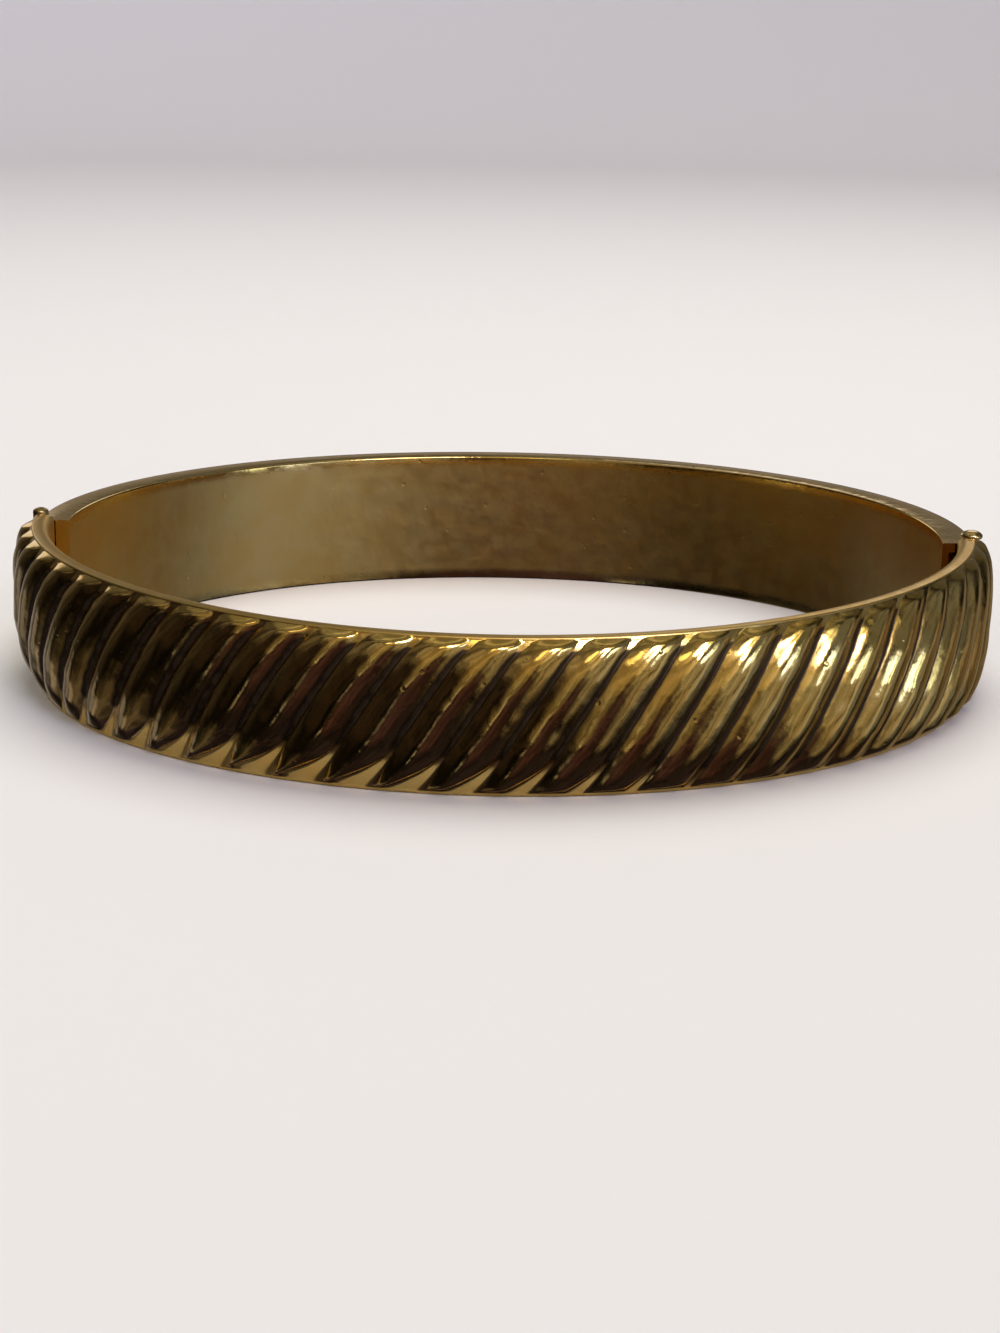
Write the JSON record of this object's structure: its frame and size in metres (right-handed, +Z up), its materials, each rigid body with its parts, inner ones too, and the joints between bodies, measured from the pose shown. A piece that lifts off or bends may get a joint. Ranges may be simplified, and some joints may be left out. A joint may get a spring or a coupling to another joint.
{
  "type": "hinged bangle",
  "caption": "Oval hinged bangle with a leaning ribbed front half, a smooth rear half, a pinned hinge at one end and a spring clasp with a thumb knob at the other.",
  "frame": {"origin": "middle of the bangle's oval, on the plane of the lower rim that it rests on", "axes": "+X from the hinge side to the clasp side, +Y from the ribbed front to the plain rear, +Z up along the band's height"},
  "size_m": [0.0627, 0.0554, 0.0103],
  "materials": {
    "ribbed_metal": "polished gold plate",
    "plain_metal": "polished gold plate",
    "clasp_metal": "polished gold plate",
    "pin_metal": "satin gold plate"
  },
  "bodies": {
    "front": {"ribbed_half": "ribbed_metal", "clasp_tongue": "clasp_metal", "hinge_pin": "pin_metal"},
    "rear": {"plain_half": "plain_metal"}
  },
  "joints": [
    {"name": "bangle_hinge", "type": "hinge", "parent": "front", "child": "rear", "pos_m": [-0.02995, -0.0002, 0], "axis": [0, 0, 1], "range_deg": [0, 45]}
  ]
}
